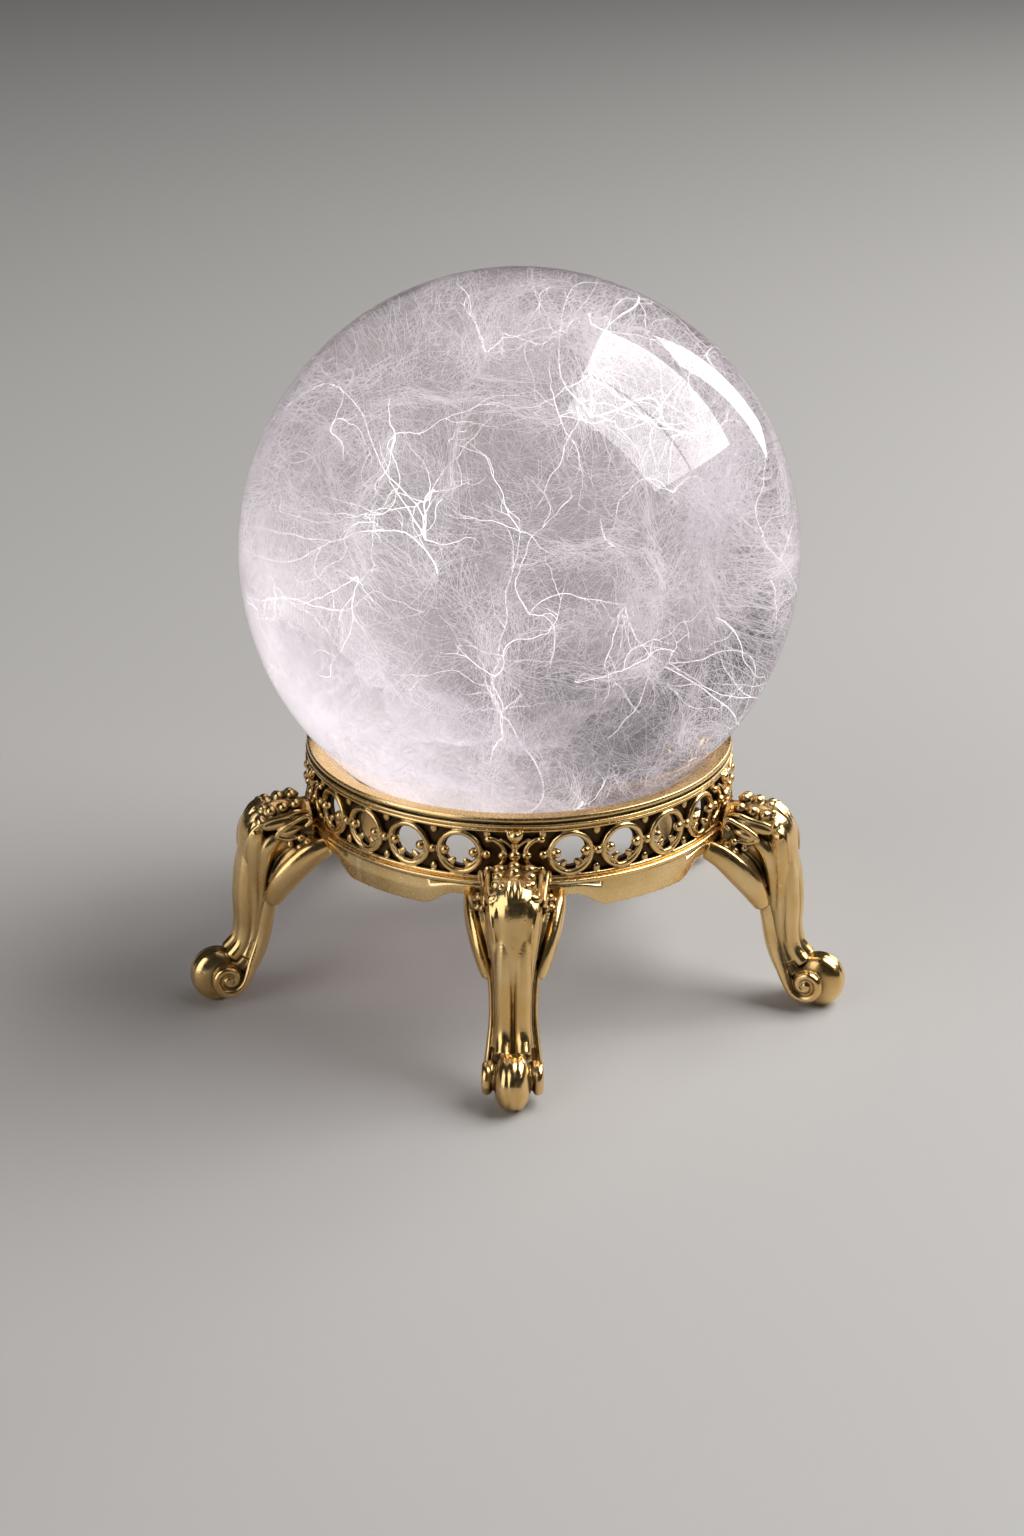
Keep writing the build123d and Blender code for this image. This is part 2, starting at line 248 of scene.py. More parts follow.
class Shader:
    """A node material while it is being wired."""

    def __init__(self, name):
        self.material = bpy.data.materials.new(name)
        self.material.use_nodes = True
        self.tree = self.material.node_tree
        self.tree.nodes.clear()
        self.output = self.add("ShaderNodeOutputMaterial")

    def add(self, kind, inputs=None, **settings):
        made = self.tree.nodes.new(kind)
        for key, value in settings.items():
            setattr(made, key, value)
        for key, value in (inputs or {}).items():
            if isinstance(value, bpy.types.NodeSocket):
                self.tree.links.new(value, made.inputs[key])
            else:
                made.inputs[key].default_value = value
        return made

    def noise(self, where, scale, detail=4, roughness=0.55, distortion=0.0):
        values = {"Vector": where, "Scale": scale, "Detail": detail, "Roughness": roughness}
        return self.add("ShaderNodeTexNoise", {**values, "Distortion": distortion}).outputs["Fac"]

    def math(self, operation, a, b=0.0, clamp=False):
        made = self.add("ShaderNodeMath", {0: a, 1: b}, operation=operation, use_clamp=clamp)
        return made.outputs[0]

    def remap(self, value, low, high, to_low=0.0, to_high=1.0):
        limits = {"Value": value, "From Min": low, "From Max": high, "To Min": to_low, "To Max": to_high}
        return self.add("ShaderNodeMapRange", limits, clamp=True).outputs["Result"]

    def mix(self, factor, a, b):
        made = self.add("ShaderNodeMix", data_type="RGBA", blend_type="MIX")
        for key, value in ((0, factor), (6, a), (7, b)):
            if isinstance(value, bpy.types.NodeSocket):
                self.tree.links.new(value, made.inputs[key])
            else:
                made.inputs[key].default_value = value
        return made.outputs[2]

    def milky(self, colour, painted_glow):
        """A surface that scatters light to both sides and adds a painted glow of its own, of this strength.
        """
        diffuse = self.add("ShaderNodeBsdfDiffuse", {"Color": colour}).outputs[0]
        through = self.add("ShaderNodeBsdfTranslucent", {"Color": colour}).outputs[0]
        both = self.add("ShaderNodeMixShader", {0: 0.5, 1: diffuse, 2: through}).outputs[0]
        # Painted light: an emission that makes the surface glow though it is no lamp.
        light = self.add("ShaderNodeEmission", {"Color": colour, "Strength": painted_glow}).outputs[0]
        return self.add("ShaderNodeAddShader", {0: both, 1: light}).outputs[0]

    def finish(self, surface):
        self.tree.links.new(surface, self.output.inputs["Surface"])
        return self.material


def brass(name, fresh, worn, patina_shade_colour, patina_shade_reach, gloss, pits, edge_wear=0.5):
    """Old polished brass: bright on high places, dark in recesses from patina together with painted shade,
    with casting pits and fine wear.
    """
    shader = Shader(name)
    where = shader.add("ShaderNodeTexCoord").outputs["Object"]
    cloud = shader.noise(where, 160, 5)
    grain = shader.noise(where, 1500, 3)
    reach = {"Distance": patina_shade_reach * MM}
    # Patina and painted shade: recesses, found by ambient occlusion and low pointiness, are darkened
    # towards the patina colour and made rougher.
    recess = shader.add("ShaderNodeAmbientOcclusion", reach, samples=4, only_local=True).outputs["AO"]
    point = shader.add("ShaderNodeNewGeometry").outputs["Pointiness"]
    hollow = shader.remap(recess, 0.48, 0.92, 1.0, 0.0)
    sunk = shader.remap(point, 0.40, 0.49, 1.0, 0.0)
    patina_and_shade = shader.math("MAXIMUM", hollow, shader.math("MULTIPLY", sunk, 0.8))
    patina_and_shade = shader.math("MULTIPLY", patina_and_shade, shader.remap(cloud, 0.3, 0.6, 0.65, 1.15), clamp=True)
    edge = shader.remap(point, 0.52, 0.60)
    tone = shader.mix(shader.remap(cloud, 0.35, 0.65), fresh, worn)
    tone = shader.mix(shader.math("MULTIPLY", edge, edge_wear), tone, RUBBED_BRASS)
    colour = shader.mix(patina_and_shade, tone, patina_shade_colour)
    shine = shader.remap(grain, 0.3, 0.7, gloss, gloss + 0.12)
    rough = shader.math("ADD", shine, shader.math("MULTIPLY", patina_and_shade, 0.35), clamp=True)
    pit = shader.remap(shader.noise(where, 900, 2), 0.28, 0.36)
    wave = shader.noise(where, 260, 2)
    height = shader.math("ADD", shader.math("MULTIPLY", wave, 0.35), shader.math("MULTIPLY", pit, 0.5))
    height = shader.math("ADD", height, shader.math("MULTIPLY", grain, 0.12))
    relief = {"Height": height, "Strength": pits, "Distance": 0.08 * MM}
    bump = shader.add("ShaderNodeBump", relief).outputs[0]
    values = {"Base Color": colour, "Metallic": 1.0, "Roughness": rough, "Normal": bump}
    return shader.finish(shader.add("ShaderNodeBsdfPrincipled", values).outputs[0])


def crystal_glass():
    """Clear polished crystal. Lamps shine through it, so that what is inside is lit."""
    shader = Shader("polished_crystal")
    look = {"Color": (0.82, 0.79, 0.80, 1), "Roughness": 0.0, "IOR": 1.5}
    glass = shader.add("ShaderNodeBsdfGlass", look).outputs[0]
    clear = shader.add("ShaderNodeBsdfTransparent", {"Color": (0.64, 0.63, 0.64, 1)}).outputs[0]
    shadow = shader.add("ShaderNodeLightPath").outputs["Is Shadow Ray"]
    return shader.finish(shader.add("ShaderNodeMixShader", {0: shadow, 1: glass, 2: clear}).outputs[0])


def fibre_material(name, colour, painted_glow):
    """White mineral thread, slightly uneven in tone, with a painted glow of the given strength."""
    shader = Shader(name)
    where = shader.add("ShaderNodeTexCoord").outputs["Object"]
    darker = tuple(0.86 * channel for channel in colour[:3]) + (1,)
    tone = shader.mix(shader.noise(where, 140, 3), colour, darker)
    return shader.finish(shader.milky(tone, painted_glow))


def veil_material(name, seed, haze):
    """A milky veil: soft smoke with clear windows, thicker and with a painted glow where the lamp's light
    gathers.
    """
    shader = Shader(name)
    where = shader.add("ShaderNodeTexCoord").outputs["Object"]
    offset = {0: where, 1: (seed, 2 * seed, -seed)}
    shift = shader.add("ShaderNodeVectorMath", offset, operation="ADD").outputs[0]
    patches = shader.remap(shader.noise(shift, 26, 3, 0.6, 0.8), 0.43, 0.60)
    smoke = shader.remap(shader.noise(shift, 75, 8, 0.7, 0.5), 0.40, 0.66, 0.05, 1.0)
    streaks = shader.remap(shader.noise(shift, 240, 5, 0.75, 1.5), 0.45, 0.7, 0.0, 0.6)
    thick = shader.math("MULTIPLY", shader.math("ADD", smoke, streaks), patches)
    towards = {0: where, 1: GATHER_WAY}
    gather = shader.add("ShaderNodeVectorMath", towards, operation="DOT_PRODUCT").outputs["Value"]
    # Painted light: towards the gathering place the veil grows thicker and glows, standing in for window
    # light the ball focuses there.
    painted_glow_and_milk = shader.math("POWER", shader.remap(gather, GATHER_START, GATHER_END), 1.4)
    thin_part = shader.math("MULTIPLY", thick, haze)
    cover = shader.math("ADD", thin_part, shader.math("MULTIPLY", painted_glow_and_milk, 0.6), clamp=True)
    # Painted glow: faint everywhere, strong where the light gathers.
    painted_glow = shader.math("ADD", shader.math("MULTIPLY", painted_glow_and_milk, 1.1), 0.05)
    lit = shader.milky((0.92, 0.90, 0.92, 1), painted_glow)
    clear = shader.add("ShaderNodeBsdfTransparent").outputs[0]
    return shader.finish(shader.add("ShaderNodeMixShader", {0: cover, 1: clear, 2: lit}).outputs[0])


ANTIQUE = brass(
    "antique_brass",
    fresh=(0.74, 0.475, 0.18, 1),
    worn=(0.85, 0.60, 0.28, 1),
    patina_shade_colour=(0.030, 0.019, 0.008, 1),
    patina_shade_reach=2.2,
    gloss=0.14,
    pits=0.5,
)
RIM_BRASS = brass(
    "rim_brass",
    fresh=(0.78, 0.52, 0.21, 1),
    worn=(0.86, 0.625, 0.31, 1),
    patina_shade_colour=(0.05, 0.032, 0.014, 1),
    patina_shade_reach=1.2,
    gloss=0.2,
    pits=0.35,
)
# Nearly black brass for the pierced band: patina together with painted shade for the dim recess behind the
# gallery.
DARK_PATINA_AND_SHADE_BRASS = brass(
    "dark_brass",
    fresh=(0.045, 0.028, 0.012, 1),
    worn=(0.10, 0.062, 0.026, 1),
    patina_shade_colour=(0.012, 0.008, 0.004, 1),
    patina_shade_reach=3.0,
    gloss=0.4,
    pits=0.6,
    edge_wear=0,
)


# ---- the stand ----


def rim():
    """The top ring: flat face, rounded edge, groove and bead, and inside it a bevel to the ledge."""
    inner = RIM_RADIUS - 2.7
    seat = RIM_RADIUS - 5.4
    spigot = BAND_RADIUS - 0.85
    low = RIM_LOW.z
    outline = [
        (inner + 0.05, RIM_TOP),
        (RIM_RADIUS - 0.35, RIM_TOP),
        (RIM_RADIUS - 0.15, RIM_TOP - 0.8),
        (RIM_RADIUS - 0.75, RIM_TOP - 1.0),
        (RIM_RADIUS - 0.7, RIM_TOP - 1.25),
        (RIM_RADIUS - 0.05, RIM_TOP - 1.35),
        (RIM_RADIUS - 0.05, RIM_TOP - 1.95),
        (RIM_RADIUS - 0.7, RIM_TOP - 2.1),
        (spigot, RIM_TOP - 2.1),
        (spigot, low),
        (seat + 0.5, low),
        (seat, low + 0.4),
        (seat, RIM_TOP - 2.2),
        (inner - 0.4, RIM_TOP - 0.85),
    ]

    def wobble(angle, radius, z):
        """A hand-finished edge is never quite true."""
        lift = noise.noise((4 * math.cos(angle), 4 * math.sin(angle), z)) * 0.05
        outwards = noise.noise((9 * math.cos(angle), 9 * math.sin(angle), 5 + z)) * 0.04
        is_edge = radius > inner + 0.5
        return radius + (outwards if is_edge else 0), z + (lift - 0.03 if z > RIM_TOP - 2 else 0)

    bm = bmesh.new()
    lathe(bm, rounded(outline, 0.28), 420, wobble)
    piece = new_object("rim_ring", bm, RIM_BRASS, "stand")
    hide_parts("seat_rim")


def apron_depth(angle):
    """How far the apron hangs down at this angle: little beside a leg, then an ogee, then a deep belly."""
    ogee_start = 10.6
    ogee_length = 6.4
    from_leg = abs((math.degrees(angle) - FRONT + LEG_PITCH / 2) % LEG_PITCH - LEG_PITCH / 2)
    along = math.radians(from_leg) * APRON_RADIUS
    shallow = 3.0
    deep = APRON_TOP - APRON_BELLY
    t = min(1, max(0, (along - ogee_start) / ogee_length))
    return shallow + (deep - shallow) * (3 * t**2 - 2 * t**3)


def apron():
    """The smooth band under the gallery, with a lug behind each leg."""
    depth = APRON_TOP - APRON_BELLY
    inside = BAND_RADIUS - 0.7
    straight_part = 1.1
    outline = [
        (inside, 0),
        (APRON_RADIUS - 0.45, 0),
        (APRON_RADIUS - 0.02, -0.25),
        (APRON_RADIUS - 0.1, -0.75),
        (APRON_RADIUS - 0.32, -1.0),
        (APRON_RADIUS - 0.1, -0.5 * depth),
        (APRON_RADIUS - 0.35, -depth),
        (APRON_RADIUS - 1.2, -depth),
        (APRON_RADIUS - 1.6, -0.6 * depth),
        (inside, -1.2),
    ]

    def scallop(angle, radius, z):
        return radius, APRON_TOP + z * (apron_depth(angle) / depth if z < -straight_part else 1)

    bm = bmesh.new()
    lathe(bm, rounded(outline, 0.3), 900, scallop)
    for i in range(len(LEG_NAMES)):
        lug = turned(FRONT + i * LEG_PITCH) @ Matrix.Translation((APRON_RADIUS - 1.3, 0, APRON_TOP - 3.0))
        lug = lug @ Matrix.Diagonal((1.1, 6.5, 2.8, 1))
        bmesh.ops.create_icosphere(bm, subdivisions=3, radius=1, matrix=lug)
    piece = new_object("apron_band", bm, RIM_BRASS, "stand")
    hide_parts("apron_ring")


def on_band(along, z, out):
    """A place on the gallery: millimetres along it from +X, height above its middle, and how far out."""
    angle = along / GALLERY_RADIUS
    radius = GALLERY_RADIUS + out
    return radius * math.cos(angle), radius * math.sin(angle), GALLERY_MIDDLE + z


def wire(bm, points, radius):
    """A round wire through (along, z, out) places on the gallery."""
    path = [(*on_band(*p), radius, radius) for p in smooth_path(points, 5)]
    sweep(bm, path, 10, wide=(1, 0, 0.02))


def arc_points(centre, radius, start, end, out):
    """Places along an arc on the gallery, with angles in degrees from the +along direction."""
    steps = 8
    angles = [math.radians(start + (end - start) * i / steps) for i in range(steps + 1)]
    return [(centre + radius * math.cos(a), radius * math.sin(a), out) for a in angles]


def band_blob(bm, along, z, out, radii, roll=0):
    """A bead or leaf on the gallery: radii are outwards, along and up."""
    place = Vector(on_band(along, z, out))
    facing = Matrix.Rotation(math.atan2(place.y, place.x), 4, "Z")
    blob(bm, place, radii, facing @ tilt(roll, "X"))


def gallery_rails(bm, reach):
    """The thin bars above and below the scrolls."""
    for z, out in ((-4.5, 0.05), (4.45, -0.05)):
        wire(bm, [(-reach, z, out), (-reach / 3, z, out), (reach / 3, z, out), (reach, z, out)], 0.42)


def scroll(bm, centre):
    """A ring of wire whose two ends curl in to a ball, over a pair of leaves."""
    wire(bm, arc_points(centre, 3.65, -12, 192, 0.12), 0.55)
    wire(bm, arc_points(centre, 3.8, 168, 372, -0.05), 0.55)
    for side in (-1, 1):
        band_blob(bm, centre + side * 2.55, 0.15, 0.35, (0.85, 0.9, 0.9))
        band_blob(bm, centre + side * 1.75, -2.3, -0.05, (0.4, 0.75, 1.5), side * 48)
        stem = [
            (centre + side * 1.0, -3.0, 0.1),
            (centre + side * 2.2, -2.1, 0.3),
            (centre + side * 3.3, -0.9, 0.1),
        ]
        wire(bm, stem, 0.24)


def gallery_panel_mesh():
    """The openwork between two legs: scroll rings with a bead and two drops at each side of each."""
    pitch = math.radians(MOTIF_PITCH) * GALLERY_RADIUS
    half = SCROLLS_PER_PANEL / 2
    bm = bmesh.new()
    gallery_rails(bm, half * pitch)
    for i in range(SCROLLS_PER_PANEL):
        scroll(bm, (i + 0.5 - half) * pitch)
    for i in range(SCROLLS_PER_PANEL + 1):
        band_blob(bm, (i - half) * pitch, 0, 0.3, (0.75, 0.8, 0.8))
        for z in (-3.6, 3.6):
            band_blob(bm, (i - half) * pitch, z, -0.25, (0.45, 0.7, 0.9))
    return fuse(bm, voxel=0.11, smoothing=2)


def bud_cross_mesh():
    """The upright above a leg: bud, beads, stem and a C-scroll on each side."""
    bm = bmesh.new()
    gallery_rails(bm, math.radians(MOTIF_PITCH / 2) * GALLERY_RADIUS)
    wire(bm, [(0, -4.6, 0.35), (0, -2, 0.2), (0, 1, 0.2), (0, 4.2, 0.2)], 0.55)
    band_blob(bm, 0, 0, 0.55, (0.95, 1.05, 1.05))
    band_blob(bm, 0, -2.0, 0.35, (0.8, 0.85, 0.7))
    band_blob(bm, 0, 3.4, 0.5, (0.85, 1.0, 1.15))
    for side in (-1, 1):
        band_blob(bm, side * 0.85, 3.55, 0.4, (0.55, 0.5, 1.2), side * -22)
        band_blob(bm, side * 2.0, 0, 0.4, (0.8, 0.95, 0.75))
        wire(bm, arc_points(side * 4.6, 2.9, 90, 90 + side * 180, 0.1), 0.5)
        band_blob(bm, side * 4.5, 2.8, 0.2, (0.6, 0.75, 0.65))
        band_blob(bm, side * 4.5, -2.8, 0.2, (0.6, 0.75, 0.65))
        wire(bm, [(side * 0.3, 1.1, 0.3), (side * 1.2, 2.2, 0.3), (side * 2.4, 2.9, 0.1)], 0.3)
    return fuse(bm, voxel=0.11, smoothing=2)


def gallery():
    """The ring of openwork between the rim and the apron."""
    castings(PANEL_NAMES, "gallery_", "scroll_panel_", gallery_panel_mesh(), FRONT + LEG_PITCH / 2)
    castings(LEG_NAMES, "bud_cross_", "bud_upright_", bud_cross_mesh(), FRONT)


# ---- the legs: X is outwards, Y to the side, Z up ----


def knee_and_shaft(bm):
    """The smooth bulge of the knee, and the shaft. Points are x, y, z, half-width and half-depth."""
    line = [
        (APRON_RADIUS + 1.5, 0, KNEE_TOP - 3.6, 3.4, 1.8),
        (SHAFT_RADIUS - 9.5, 0, KNEE_TOP - 3.1, 3.5, 2.0),
        (SHAFT_RADIUS - 7.0, 0, KNEE_TOP - 3.2, 3.6, 2.2),
        (SHAFT_RADIUS - 5.0, 0, KNEE_TOP - 4.1, 3.7, 2.4),
        (SHAFT_RADIUS - 4.0, 0, KNEE_TOP - 6.1, 3.8, 2.5),
        (SHAFT_RADIUS - 3.5, 0, KNEE_TOP - 9.2, 3.6, 2.4),
        (SHAFT_RADIUS - 2.8, 0, KNEE_TOP - 13.5, 3.2, 2.15),
        (SHAFT_RADIUS - 2.6, 0, KNEE_TOP - 19.5, 2.95, 1.85),
        (SHAFT_RADIUS - 2.8, 0, KNEE_TOP - 26.0, 2.8, 1.75),
        (SHAFT_RADIUS - 1.2, 0, KNEE_TOP - 30.5, 2.8, 1.75),
    ]
    sweep(bm, smooth_path(line, 6), 32)


def reed(bm, side, line):
    """A rounded rib, through points (x, y, z, radius)."""
    sweep(bm, smooth_path([(x, side * y, z, r, r) for x, y, z, r in line], 6), 18)


def reeds(bm, side):
    """The ribs down one side of the leg: one in front, one beside it, and one that fades at the wing."""
    front = [
        (SHAFT_RADIUS - 3.0, 1.3, KNEE_TOP - 10.0, 1.7),
        (SHAFT_RADIUS - 2.1, 1.5, KNEE_TOP - 14.0, 1.65),
        (SHAFT_RADIUS - 1.55, 1.55, KNEE_TOP - 19.3, 1.6),
        (SHAFT_RADIUS - 1.45, 1.5, KNEE_TOP - 25.0, 1.5),
        (SHAFT_RADIUS - 0.7, 1.6, KNEE_TOP - 28.4, 1.55),
        (SHAFT_RADIUS + 1.2, 1.7, KNEE_TOP - 30.6, 1.5),
    ]
    beside = [
        (SHAFT_RADIUS - 4.4, 2.4, KNEE_TOP - 4.4, 1.4),
        (SHAFT_RADIUS - 3.7, 2.9, KNEE_TOP - 6.6, 1.75),
        (SHAFT_RADIUS - 3.4, 2.75, KNEE_TOP - 10.3, 1.6),
        (SHAFT_RADIUS - 3.3, 2.3, KNEE_TOP - 15.3, 1.3),
        (SHAFT_RADIUS - 3.4, 2.15, KNEE_TOP - 20.0, 1.15),
        (SHAFT_RADIUS - 3.1, 2.15, KNEE_TOP - 26.0, 1.1),
        (SHAFT_RADIUS - 1.4, 2.5, KNEE_TOP - 30.5, 1.2),
    ]
    fading = [
        (SHAFT_RADIUS - 8.2, 3.3, KNEE_TOP - 6.8, 1.4),
        (SHAFT_RADIUS - 5.9, 3.2, KNEE_TOP - 8.7, 1.75),
        (SHAFT_RADIUS - 5.2, 3.0, KNEE_TOP - 12.3, 1.45),
        (SHAFT_RADIUS - 4.9, 2.8, KNEE_TOP - 16.5, 1.05),
        (SHAFT_RADIUS - 4.6, 2.6, KNEE_TOP - 20.5, 0.8),
    ]
    for line in (front, beside, fading):
        reed(bm, side, line)


def core(bm):
    """The body behind the reeds, from the root on the apron to the foot."""
    line = [
        (APRON_RADIUS + 0.8, 0, 31.6, 5.5, 6.0),
        (APRON_RADIUS + 4.0, 0, 31.6, 5.0, 5.2),
        (SHAFT_RADIUS - 6.8, 0, 29.6, 4.2, 4.1),
        (SHAFT_RADIUS - 5.2, 0, 24.0, 3.4, 3.2),
        (SHAFT_RADIUS - 4.5, 0, 17.0, 3.4, 3.0),
        (SHAFT_RADIUS - 3.5, 0, 11.0, 3.5, 2.7),
        (SHAFT_RADIUS - 1.0, 0, 6.6, 3.6, 3.0),
        (SHAFT_RADIUS + 2.4, 0, 4.8, 3.5, 3.3),
    ]
    sweep(bm, smooth_path(line, 6), 24)


def scrolled_flange(bm, side):
    """The thin bead down each side of the shaft, which curls up into the scroll of the foot."""
    centre_x = SHAFT_RADIUS + 2.4
    centre_z = 5.4
    line = [
        (SHAFT_RADIUS - 5.9, side * 4.1, 20.5, 0.5, 1.1),
        (SHAFT_RADIUS - 5.1, side * 3.85, 17.0, 0.5, 1.1),
        (SHAFT_RADIUS - 4.1, side * 3.8, 12.6, 0.5, 1.1),
        (SHAFT_RADIUS - 2.3, side * 4.1, 8.0, 0.7, 1.1),
    ]
    turns = 1.5
    steps = 13
    for i in range(steps):
        t = i / (steps - 1)
        angle = math.radians(205) + t * turns * 2 * math.pi
        reach = 2.75 * (1 - t) + 0.35
        x = centre_x + reach * math.cos(angle)
        z = centre_z + reach * math.sin(angle)
        line.append((x, side * (4.35 + 0.25 * t), z, 0.95 - 0.2 * t, 0.85 - 0.25 * t))
    sweep(bm, smooth_path(line, 5), 12)
    blob(bm, (centre_x, side * 3.7, centre_z), (2.7, 1.3, 2.7))
    blob(bm, (centre_x, side * 4.7, centre_z), (0.8, 0.7, 0.8))


def wing(bm, side):
    """The broad curved bracket from the apron to the little step on the shaft."""
    line = [
        (APRON_RADIUS - 1.3, side * 7.7, 31.0, 1.2, 1.9),
        (APRON_RADIUS + 1.2, side * 7.5, 29.9, 1.35, 2.2),
        (APRON_RADIUS + 3.8, side * 6.9, 27.6, 1.5, 2.5),
        (APRON_RADIUS + 6.2, side * 5.9, 24.6, 1.55, 2.45),
        (APRON_RADIUS + 7.6, side * 4.9, 21.8, 1.45, 2.0),
        (APRON_RADIUS + 8.3, side * 4.3, 20.0, 1.2, 1.5),
    ]
    sweep(bm, smooth_path(line, 6), 20)
    web = [
        (APRON_RADIUS + 0.4, side * 5.2, 30.6, 2.2, 2.2),
        (APRON_RADIUS + 4.0, side * 4.2, 27.8, 2.0, 2.4),
        (APRON_RADIUS + 7.2, side * 3.0, 22.8, 1.7, 2.2),
    ]
    sweep(bm, smooth_path(web, 4), 16)


def bead(bm, side, along, across, drop, size):
    """A berry cast on the knee: `along` outwards from the apron, `drop` below the knee's top."""
    blob(bm, (APRON_RADIUS + along, side * across, KNEE_TOP - drop), (size, size, size))


def knee_crest(bm):
    """Berries along the top of the knee, ending in a small ribbed leaf."""
    for along, drop, size in ((3.4, 0.8, 1.05), (5.8, 0.85, 1.05), (8.1, 1.5, 0.95)):
        bead(bm, 1, along, 0, drop, size)
    blob(bm, (SHAFT_RADIUS - 4.1, 0, KNEE_TOP - 2.6), (2.1, 1.75, 0.75), tilt(46))
    for across in (-1.1, 0, 1.1):
        rib = [
            (SHAFT_RADIUS - 5.6, across * 0.7, KNEE_TOP - 0.9, 0.3, 0.3),
            (SHAFT_RADIUS - 3.9, across, KNEE_TOP - 2.1, 0.38, 0.38),
            (SHAFT_RADIUS - 2.5, across * 0.8, KNEE_TOP - 3.9, 0.3, 0.3),
        ]
        sweep(bm, smooth_path(rib, 5), 10)


def knee_line(bm, side, points, steps, sides):
    """A raised line on one side of the knee, through points (along, across, drop, radius)."""
    line = []
    for along, across, drop, radius in points:
        line.append((APRON_RADIUS + along, side * across, KNEE_TOP - drop, radius, radius))
    sweep(bm, smooth_path(line, steps), sides)


def knee_side(bm, side):
    """Berries, the long petal and the curled leaf on one side of the knee."""
    berries = [(3.2, 2.6, 1.6, 1.15), (5.5, 2.7, 1.9, 1.1), (7.8, 2.8, 2.3, 1.1), (9.1, 2.1, 1.9, 0.7)]
    for along, across, drop, size in berries:
        bead(bm, side, along, across, drop, size)
    for along, across, drop, lean in ((9.9, 3.2, 3.7, 40), (11.0, 3.3, 5.6, 62)):
        lemon = tilt(side * -18, "X") @ tilt(lean)
        blob(bm, (APRON_RADIUS + along, side * across, KNEE_TOP - drop), (0.95, 1.4, 0.9), lemon)
    petal_edge = [
        (1.2, 4.3, 2.6, 0.35),
        (3.4, 4.5, 2.2, 0.5),
        (5.8, 4.4, 2.9, 0.5),
        (8.9, 4.15, 3.6, 0.45),
        (11.3, 3.85, 5.2, 0.4),
        (12.5, 3.5, 7.6, 0.35),
        (12.9, 3.1, 10.6, 0.25),
    ]
    knee_line(bm, side, petal_edge, 6, 12)
    blob(bm, (APRON_RADIUS + 5.6, side * 4.1, KNEE_TOP - 4.0), (4.4, 1.05, 1.3), tilt(10))
    blob(bm, (APRON_RADIUS + 4.7, side * 5.0, KNEE_TOP - 5.5), (2.3, 0.75, 0.95), tilt(16))
    leaf_edge = [
        (2.2, 5.9, 4.6, 0.42),
        (1.2, 6.0, 3.5, 0.42),
        (1.9, 5.7, 2.7, 0.42),
        (4.0, 5.4, 3.7, 0.42),
        (6.1, 5.2, 4.9, 0.42),
        (7.3, 5.0, 6.2, 0.42),
        (5.6, 5.3, 6.9, 0.42),
        (3.7, 5.5, 6.7, 0.42),
    ]
    knee_line(bm, side, leaf_edge, 5, 10)
    drops = [(3.1, 6.0, 6.7, 0.8), (2.0, 6.2, 7.5, 0.85), (3.3, 6.0, 8.5, 0.85), (4.9, 5.4, 8.0, 0.7)]
    for along, across, drop, size in drops:
        bead(bm, side, along, across, drop, size)


def toe(bm):
    """The round toe the leg stands on, with a faint crease each side of its middle."""
    middle = FOOT_HEIGHT / 2
    reach = 4.55
    blob(bm, (TOE_RADIUS - reach, 0, middle), (reach, 2.6, middle + 0.1), detail=4)
    for side in (-1, 1):
        blob(bm, (TOE_RADIUS - reach - 0.15, side * 1.0, middle), (reach, 2.25, middle), detail=4)


def leg_mesh():
    """One cast leg, with its toe cut flat where it stands on the table."""
    bm = bmesh.new()
    knee_and_shaft(bm)
    core(bm)
    knee_crest(bm)
    toe(bm)
    for side in (-1, 1):
        reeds(bm, side)
        knee_side(bm, side)
        scrolled_flange(bm, side)
        wing(bm, side)
    casting = fuse(bm, voxel=0.15, smoothing=2)
    for v in casting.verts:
        v.co.z = max(v.co.z, 0.0)
    return casting


def legs():
    castings(LEG_NAMES, "leg_", "cast_leg_", leg_mesh(), FRONT)


# ---- the ball ----


def polished_sphere():
    bm = bmesh.new()
    bmesh.ops.create_uvsphere(bm, u_segments=256, v_segments=128, radius=BALL_RADIUS)
    bmesh.ops.translate(bm, vec=BALL_CENTRE, verts=bm.verts)
    piece = new_object("crystal_sphere", bm, crystal_glass(), "ball")
    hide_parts("crystal_ball")


def veil_sheet(name, reach, seed, haze):
    """A crumpled closed veil inside the ball, at about this share of its radius."""
    material = veil_material(name, seed, haze)
    bm = bmesh.new()
    bmesh.ops.create_icosphere(bm, subdivisions=6, radius=1)
    for v in bm.verts:
        way = v.co.normalized()
        crumple = noise.fractal(way * 1.7 + Vector((seed, 0, 0)), 0.9, 2.1, 4)
        v.co = BALL_CENTRE + way * BALL_RADIUS * min(0.97, reach + 0.1 * crumple)
    new_object(name, bm, material, "ball")


def random_way(rng):
    """A random direction, as likely one way as another."""
    z = rng.uniform(-1, 1)
    angle = rng.uniform(0, 2 * math.pi)
    reach = math.sqrt(1 - z * z)
    return Vector((reach * math.cos(angle), reach * math.sin(angle), z))


def drift(place):
    """Where a point of the crystal's web ends up: neighbouring threads bend the same way."""
    wide = noise.noise_vector(place * 0.055 + Vector((3.1, 7.7, 1.2))) * 5.0
    middle = noise.noise_vector(place * 0.16 + Vector((9.4, 2.3, 5.5))) * 1.5
    fine = noise.noise_vector(place * 0.5 + Vector((4.6, 8.1, 2.9))) * 0.4
    moved = place + wide + middle + fine
    limit = BALL_RADIUS * 0.972
    if moved.length > limit:
        moved = moved.normalized() * limit
    return moved


